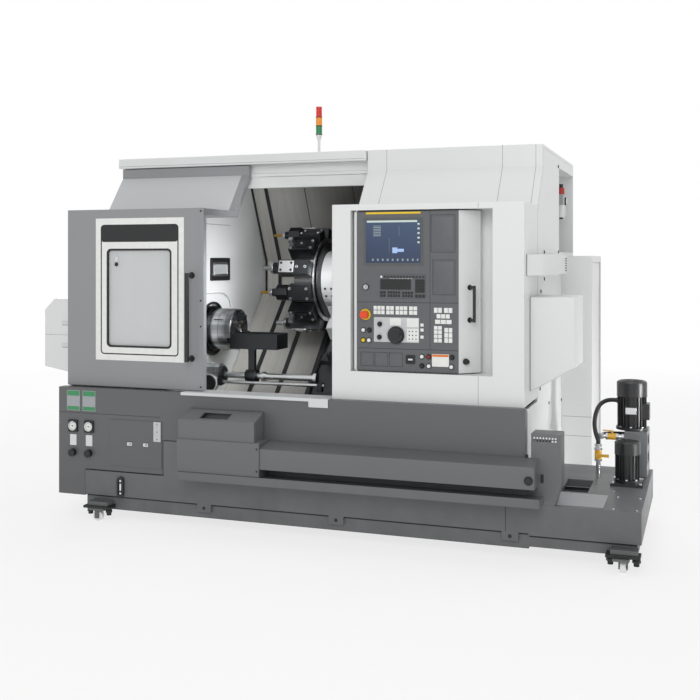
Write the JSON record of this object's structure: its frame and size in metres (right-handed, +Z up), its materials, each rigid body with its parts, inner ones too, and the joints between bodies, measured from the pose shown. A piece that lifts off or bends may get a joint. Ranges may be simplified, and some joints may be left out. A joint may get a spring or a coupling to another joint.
{
  "type": "cnc turning lathe",
  "caption": "Enclosed slant-bed turning lathe with sliding door, swinging operator panel, jaw chuck, tool turret, parts catcher and coolant tank with pumps.",
  "frame": {"origin": "centre of the footprint's box, on the floor", "axes": "+X along the spindle to the operator's right, +Y to the rear, +Z up"},
  "size_m": [3.666, 2.15, 2.477],
  "materials": {
    "white_paint": "semi-gloss powder coat",
    "light_paint": "satin paint",
    "grey_paint": "satin powder coat",
    "dark_paint": "satin powder coat",
    "cast_iron": "machined and painted",
    "housing_paint": "satin paint",
    "steel": "turned and ground",
    "black_steel": "blackened",
    "motor_paint": "black enamel",
    "black_plastic": "matte",
    "white_plastic": "satin",
    "panel_grey": "fine texture",
    "screen_glass": "glossy display",
    "window_glass": "clear",
    "stop_red": "glossy",
    "lens": "translucent",
    "valve_yellow": "enamel",
    "rubber": "smooth hose"
  },
  "bodies": {
    "root": {"right_cover": "white_paint", "hood": "white_paint", "roof": "white_paint", "enclosure": "white_paint", "cylinder_cover": "white_paint", "cable_duct": "white_paint", "side_box": "white_paint", "signal_pole": "white_paint", "chamber_shell": "light_paint", "rear_cabinet": "light_paint", "headstock": "light_paint", "front_apron": "dark_paint", "access_panel": "dark_paint", "parts_box": "dark_paint", "conveyor_cover": "dark_paint", "tank": "dark_paint", "bed_casting": "cast_iron", "catcher_mount": "housing_paint", "air_unit": "steel", "pipework": "steel", "levelling_feet": "steel", "pump_tall": "motor_paint", "pump_short": "motor_paint", "pump_manifold": "motor_paint", "gauges": "black_plastic", "work_light": "black_plastic", "signal_lenses": "lens", "valves": "valve_yellow", "hose_upper": "rubber", "hose_lower": "rubber"},
    "door": {"door": "grey_paint", "door_window": "window_glass", "door_handle": "black_plastic"},
    "panel": {"panel_box": "white_paint", "panel_face": "panel_grey", "screen": "screen_glass", "keypads": "white_plastic", "push_buttons": "white_plastic", "panel_handle": "black_plastic"},
    "e_stop": {"e_stop": "stop_red"},
    "key_switch": {"key_switch": "steel"},
    "hand_dial": {"hand_dial": "black_plastic"},
    "rotary_knob_1": {"rotary_knob_1": "black_plastic"},
    "rotary_knob_2": {"rotary_knob_2": "black_plastic"},
    "spindle": {"spindle": "steel", "chuck_body": "steel", "actuator": "steel"},
    "jaw_1": {"jaw_1": "black_steel"},
    "jaw_2": {"jaw_2": "black_steel"},
    "jaw_3": {"jaw_3": "black_steel"},
    "saddle": {"saddle": "cast_iron"},
    "cross_slide": {"cross_slide": "housing_paint"},
    "turret": {"turret_disc": "steel", "tool_holders": "black_steel", "cutting_tools": "steel"},
    "catcher": {"catcher": "black_steel"},
    "pressure_knob_1": {"pressure_knob_1": "black_plastic"},
    "pressure_knob_2": {"pressure_knob_2": "black_plastic"},
    "caster_wheel_1": {"caster_wheel_1": "white_plastic"},
    "caster_wheel_2": {"caster_wheel_2": "white_plastic"}
  },
  "joints": [
    {"name": "door_slide", "type": "slide", "parent": "root", "child": "door", "axis": [1, 0, 0], "range_m": [0, 0.76]},
    {"name": "panel_swing", "type": "hinge", "parent": "root", "child": "panel", "pos_m": [0.354, -0.837, 1.338], "axis": [0, 0, -1], "range_deg": [0, 70]},
    {"name": "e_stop_press", "type": "slide", "parent": "panel", "child": "e_stop", "axis": [0, 1, 0], "range_m": [0, 0.005], "stiffness_N_per_m": 1500},
    {"name": "key_turn", "type": "hinge", "parent": "panel", "child": "key_switch", "pos_m": [0.411, -0.854, 1.359], "axis": [0, 1, 0], "range_deg": [0, 90]},
    {"name": "dial_turn", "type": "hinge", "parent": "panel", "child": "hand_dial", "pos_m": [0.579, -0.854, 1.106], "axis": [0, 1, 0], "continuous": true},
    {"name": "knob_1_turn", "type": "hinge", "parent": "panel", "child": "rotary_knob_1", "pos_m": [0.49, -0.854, 1.163], "axis": [0, 1, 0], "range_deg": [-135, 135]},
    {"name": "knob_2_turn", "type": "hinge", "parent": "panel", "child": "rotary_knob_2", "pos_m": [0.488, -0.854, 1.094], "axis": [0, 1, 0], "range_deg": [-135, 135]},
    {"name": "spindle_spin", "type": "hinge", "parent": "root", "child": "spindle", "pos_m": [-0.765, -0.3, 1.075], "axis": [1, 0, 0], "continuous": true},
    {"name": "jaw_1_slide", "type": "slide", "parent": "spindle", "child": "jaw_1", "axis": [0, 0, 1], "range_m": [-0.006, 0.006]},
    {"name": "jaw_2_slide", "type": "slide", "parent": "spindle", "child": "jaw_2", "axis": [0, -0.866, -0.5], "range_m": [-0.006, 0.006]},
    {"name": "jaw_3_slide", "type": "slide", "parent": "spindle", "child": "jaw_3", "axis": [0, 0.866, -0.5], "range_m": [-0.006, 0.006]},
    {"name": "saddle_slide", "type": "slide", "parent": "root", "child": "saddle", "axis": [1, 0, 0], "range_m": [-0.06, 0.55]},
    {"name": "cross_slide_travel", "type": "slide", "parent": "saddle", "child": "cross_slide", "axis": [0, 0.7071, 0.7071], "range_m": [-0.07, 0.12]},
    {"name": "turret_index", "type": "hinge", "parent": "cross_slide", "child": "turret", "pos_m": [-0.195, 0.00406, 1.37906], "axis": [1, 0, 0], "continuous": true},
    {"name": "catcher_swing", "type": "hinge", "parent": "root", "child": "catcher", "pos_m": [-0.365, -0.62, 0.83], "axis": [-1, 0, 0], "range_deg": [0, 75]},
    {"name": "pressure_1_turn", "type": "hinge", "parent": "root", "child": "pressure_knob_1", "pos_m": [-1.375, -0.945, 0.377], "axis": [0, 1, 0], "range_deg": [-135, 135]},
    {"name": "pressure_2_turn", "type": "hinge", "parent": "root", "child": "pressure_knob_2", "pos_m": [-1.267, -0.945, 0.377], "axis": [0, 1, 0], "range_deg": [-135, 135]},
    {"name": "wheel_1_roll", "type": "hinge", "parent": "root", "child": "caster_wheel_1", "pos_m": [-1.18, -0.96, 0.03], "axis": [0, 1, 0], "continuous": true},
    {"name": "wheel_2_roll", "type": "hinge", "parent": "root", "child": "caster_wheel_2", "pos_m": [1.75, -0.96, 0.03], "axis": [1, 0, 0], "continuous": true}
  ],
  "couplings": [
    {"joint": "jaw_2_slide", "follows": "jaw_1_slide", "ratio": 1},
    {"joint": "jaw_3_slide", "follows": "jaw_1_slide", "ratio": 1}
  ]
}
